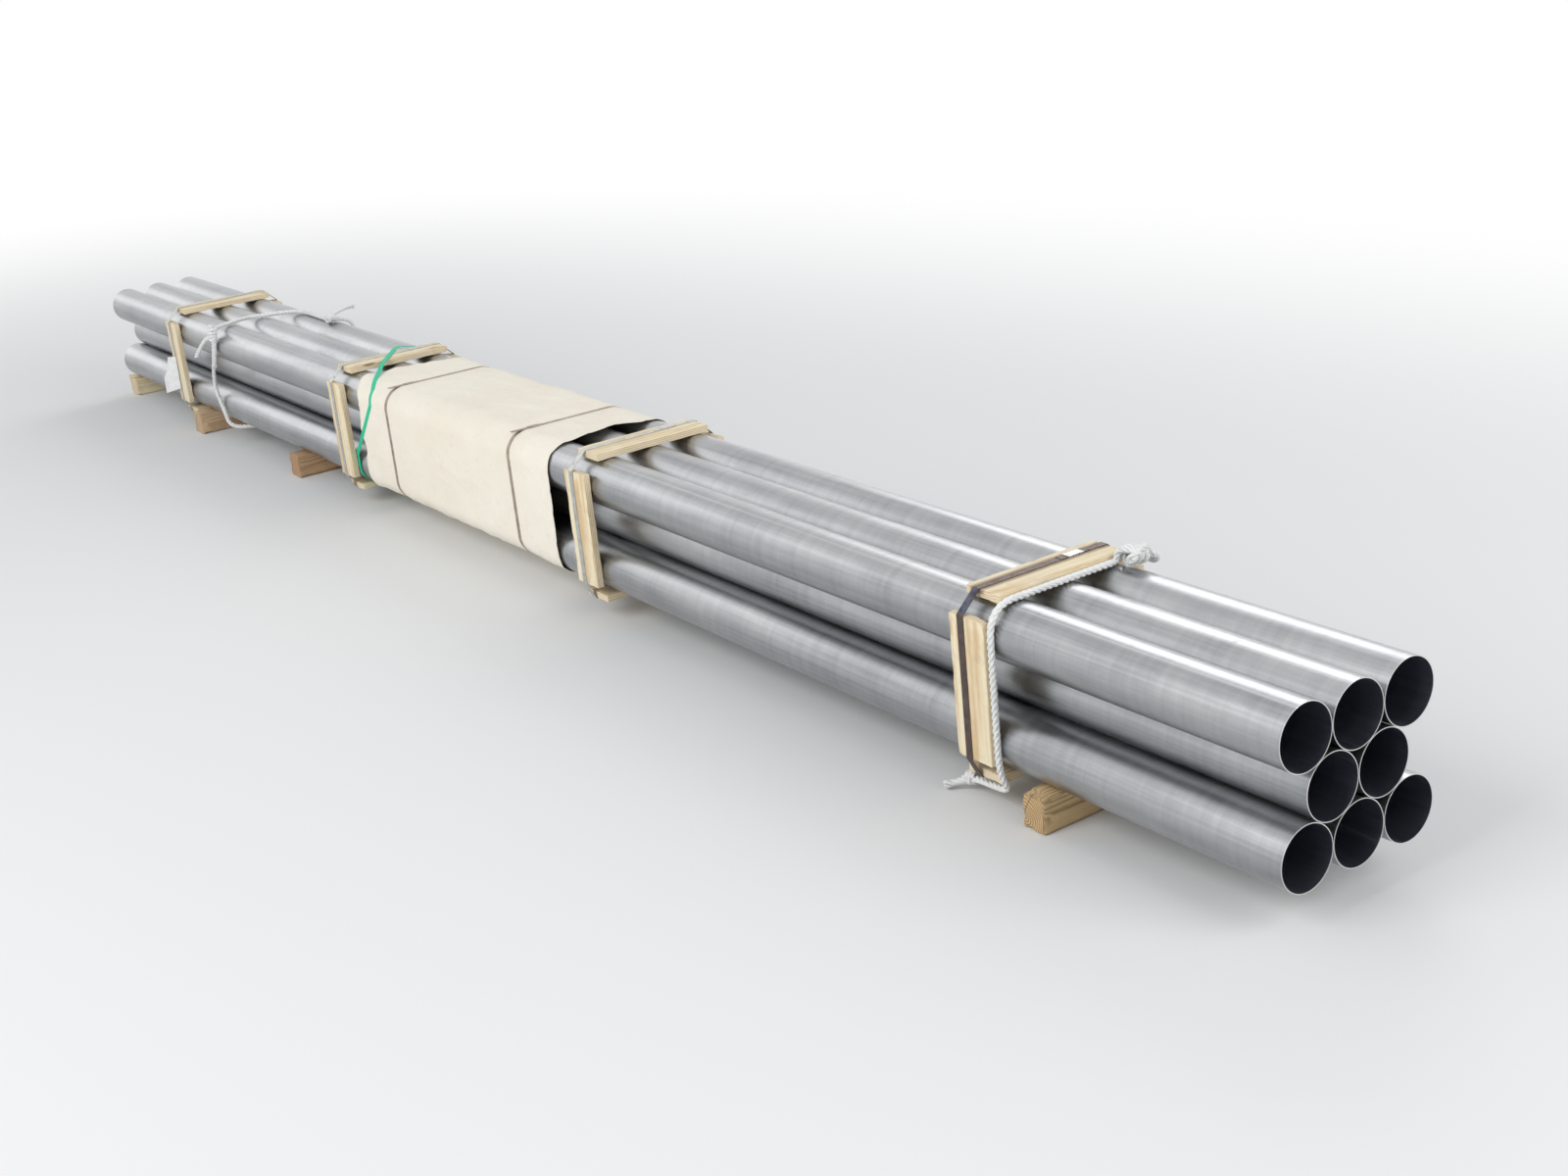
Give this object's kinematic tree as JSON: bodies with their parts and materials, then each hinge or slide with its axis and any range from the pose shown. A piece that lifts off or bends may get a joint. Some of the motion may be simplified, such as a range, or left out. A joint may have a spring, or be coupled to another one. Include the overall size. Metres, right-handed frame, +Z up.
{
  "type": "bundle of steel pipes",
  "caption": "Strapped bundle of thin-walled steel pipes in board frames with a paper wrap, lying on timbers, for storage, lifting and transport.",
  "frame": {"origin": "on the floor under the bundle, half way along the pipes and half way across the pile", "axes": "+X along the pipes to the end that the picture shows, +Y across to the side away from the camera, +Z up"},
  "size_m": [6.142, 0.4801, 0.4704],
  "materials": {
    "pipe_steel": "satin mill finish, light rub marks",
    "board_wood": "raw rough-sawn softwood",
    "weathered_timber": "weathered rough-sawn timber",
    "brown_timber": "raw brown timber",
    "pale_timber": "raw pale timber",
    "strap_steel": "dark waxed steel strapping",
    "wrap_strap_steel": "dark waxed steel strapping",
    "kraft_paper": "pale creped kraft paper",
    "green_plastic": "smooth plastic strapping",
    "rope_fibre": "white laid fibre rope",
    "tag_plastic": "blank white plastic tag"
  },
  "bodies": {
    "root": {"back_board_1": "board_wood", "back_board_2": "board_wood", "back_board_3": "board_wood", "back_board_4": "board_wood", "bottom_board_1": "board_wood", "bottom_board_2": "board_wood", "bottom_board_3": "board_wood", "bottom_board_4": "board_wood", "dunnage_1": "weathered_timber", "dunnage_2": "brown_timber", "dunnage_3": "brown_timber", "dunnage_4": "pale_timber", "far_rope": "rope_fibre", "far_rope_back_knot": "rope_fibre", "far_rope_front_knot": "rope_fibre", "frame_strap_1": "strap_steel", "frame_strap_2": "strap_steel", "frame_strap_3": "strap_steel", "frame_strap_4": "strap_steel", "front_board_1": "board_wood", "front_board_2": "board_wood", "front_board_3": "board_wood", "front_board_4": "board_wood", "green_strap": "green_plastic", "marker_tag": "tag_plastic", "near_rope": "rope_fibre", "near_rope_knot": "rope_fibre", "paper_wrap": "kraft_paper", "pipe_bottom_back": "pipe_steel", "pipe_bottom_centre": "pipe_steel", "pipe_bottom_front": "pipe_steel", "pipe_middle_back": "pipe_steel", "pipe_middle_front": "pipe_steel", "pipe_top_back": "pipe_steel", "pipe_top_centre": "pipe_steel", "pipe_top_front": "pipe_steel", "strap_seal_1": "strap_steel", "strap_seal_2": "strap_steel", "strap_seal_3": "strap_steel", "strap_seal_4": "strap_steel", "top_board_1": "board_wood", "top_board_2": "board_wood", "top_board_3": "board_wood", "top_board_4": "board_wood", "wrap_strap_1": "wrap_strap_steel", "wrap_strap_2": "wrap_strap_steel", "wrap_strap_seal_1": "wrap_strap_steel", "wrap_strap_seal_2": "wrap_strap_steel"}
  },
  "joints": []
}
